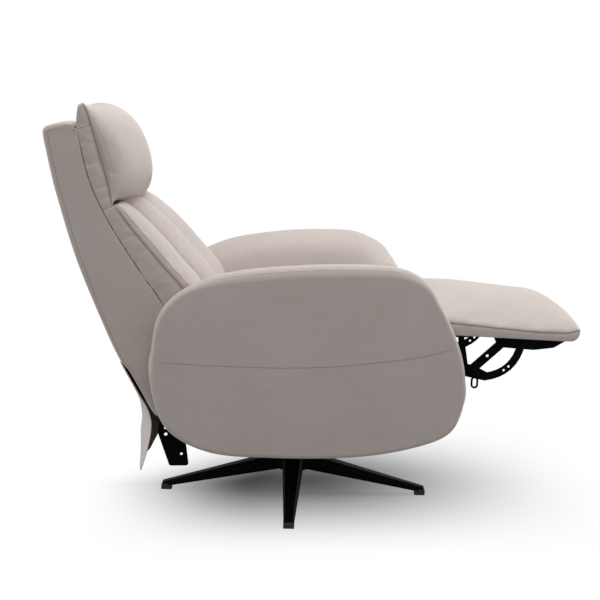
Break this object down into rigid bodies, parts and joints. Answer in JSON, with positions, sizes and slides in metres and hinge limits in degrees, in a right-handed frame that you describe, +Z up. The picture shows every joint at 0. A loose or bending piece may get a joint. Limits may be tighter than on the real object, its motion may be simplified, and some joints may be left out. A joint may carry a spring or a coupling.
{
  "type": "recliner armchair",
  "caption": "Leather recliner armchair on a flat star swivel base, with a channelled reclining back, padded headrest and a motor footrest on an open steel linkage.",
  "frame": {"origin": "middle of the length and width, on the floor", "axes": "+X forward over the footrest, +Y to the sitter's left, +Z up"},
  "size_m": [1.2915, 0.78, 0.972],
  "materials": {
    "leather": "greige semi-matt leather",
    "flap": "greige leather, dark lining inside",
    "plywood": "bare plywood",
    "steel": "bright steel",
    "black_plastic": "fine moulded grain",
    "button": "satin",
    "black_metal": "black powder coat"
  },
  "bodies": {
    "base": {"star_base": "black_metal", "floor_glide_front": "black_plastic", "floor_glide_left": "black_plastic", "floor_glide_rear": "black_plastic", "floor_glide_right": "black_plastic", "spindle": "steel"},
    "chassis": {"swivel_plate": "black_metal", "chassis_rail_left": "black_metal", "chassis_rail_right": "black_metal", "front_cross_tube": "black_metal", "rear_cross_tube": "black_metal", "side_plate_left": "black_metal", "side_plate_right": "black_metal", "arm_cover_left": "leather", "arm_cover_right": "leather", "arm_board_left": "plywood", "arm_board_right": "plywood", "seat_front_rail": "plywood", "seat_rear_rail": "plywood", "seat_spring_1": "steel", "seat_spring_2": "steel", "seat_spring_3": "steel", "seat_spring_4": "steel", "seat_cushion": "leather", "footrest_motor": "black_plastic", "control_box": "black_plastic", "switch_bezel": "black_plastic"},
    "backrest": {"back_shell": "leather", "back_upright_left": "black_metal", "back_upright_right": "black_metal", "back_top_rail": "black_metal", "back_lumbar_rail": "black_metal", "back_lever_left": "black_metal", "back_lever_right": "black_metal", "lever_cross_tube": "black_metal", "back_cushion": "leather", "headrest_cushion": "leather", "rear_flap": "flap"},
    "lower_link": {"lower_link_left": "black_metal", "lower_link_right": "black_metal", "footrest_drive_tube": "black_metal", "link_loop_left": "steel", "link_loop_right": "steel"},
    "upper_link": {"upper_link_left": "black_metal", "upper_link_right": "black_metal"},
    "curved_link": {"curved_link_left": "black_metal", "curved_link_right": "black_metal"},
    "footrest": {"footrest_bracket_left": "black_metal", "footrest_bracket_right": "black_metal", "footrest_board": "plywood", "footrest_pad": "leather"},
    "recline_motor": {"recline_motor": "black_plastic"},
    "recline_rod": {"recline_rod": "steel"},
    "footrest_rod": {"footrest_rod": "steel"},
    "recline_button": {"recline_button": "button"},
    "footrest_button": {"footrest_button": "button"}
  },
  "joints": [
    {"name": "swivel", "type": "hinge", "parent": "base", "child": "chassis", "pos_m": [-0.0252, 0, 0.16], "axis": [0, 0, 1], "continuous": true},
    {"name": "recline", "type": "hinge", "parent": "chassis", "child": "backrest", "pos_m": [-0.2402, 0, 0.38], "axis": [0, -1, 0], "range_deg": [-10, 20]},
    {"name": "footrest_fold", "type": "hinge", "parent": "chassis", "child": "lower_link", "pos_m": [0.2598, 0, 0.38], "axis": [0, 1, 0], "range_deg": [0, 101.3]},
    {"name": "upper_link_turn", "type": "hinge", "parent": "lower_link", "child": "upper_link", "pos_m": [0.3878, 0, 0.357], "axis": [0, 1, 0], "range_deg": [-81.5, 0]},
    {"name": "footrest_turn", "type": "hinge", "parent": "upper_link", "child": "footrest", "pos_m": [0.4638, 0, 0.425], "axis": [0, 1, 0], "range_deg": [0, 67]},
    {"name": "curved_link_turn", "type": "hinge", "parent": "footrest", "child": "curved_link", "pos_m": [0.5096, 0, 0.4197], "axis": [0, 1, 0], "range_deg": [-55.3, 0]},
    {"name": "motor_swing", "type": "hinge", "parent": "chassis", "child": "recline_motor", "pos_m": [0.1348, 0.06, 0.262], "axis": [0, -1, 0], "range_deg": [-2, 4]},
    {"name": "recline_stroke", "type": "slide", "parent": "recline_motor", "child": "recline_rod", "axis": [-1, 0, 0.0063], "range_m": [-0.043, 0.022]},
    {"name": "footrest_stroke", "type": "slide", "parent": "chassis", "child": "footrest_rod", "axis": [0.982, 0, 0.1891], "range_m": [-0.088, 0]},
    {"name": "recline_button_press", "type": "slide", "parent": "chassis", "child": "recline_button", "axis": [0, -1, 0], "range_m": [0, 0.0015], "stiffness_N_per_m": 300},
    {"name": "footrest_button_press", "type": "slide", "parent": "chassis", "child": "footrest_button", "axis": [0, -1, 0], "range_m": [0, 0.0015], "stiffness_N_per_m": 300}
  ],
  "couplings": [
    {"joint": "upper_link_turn", "follows": "footrest_fold", "ratio": -0.8032},
    {"joint": "footrest_turn", "follows": "footrest_fold", "ratio": 0.6601},
    {"joint": "curved_link_turn", "follows": "footrest_fold", "ratio": -0.5439},
    {"joint": "footrest_stroke", "follows": "footrest_fold", "m_per_rad": -0.04943},
    {"joint": "motor_swing", "follows": "recline", "ratio": 0.19},
    {"joint": "recline_stroke", "follows": "recline", "m_per_rad": -0.1215}
  ]
}
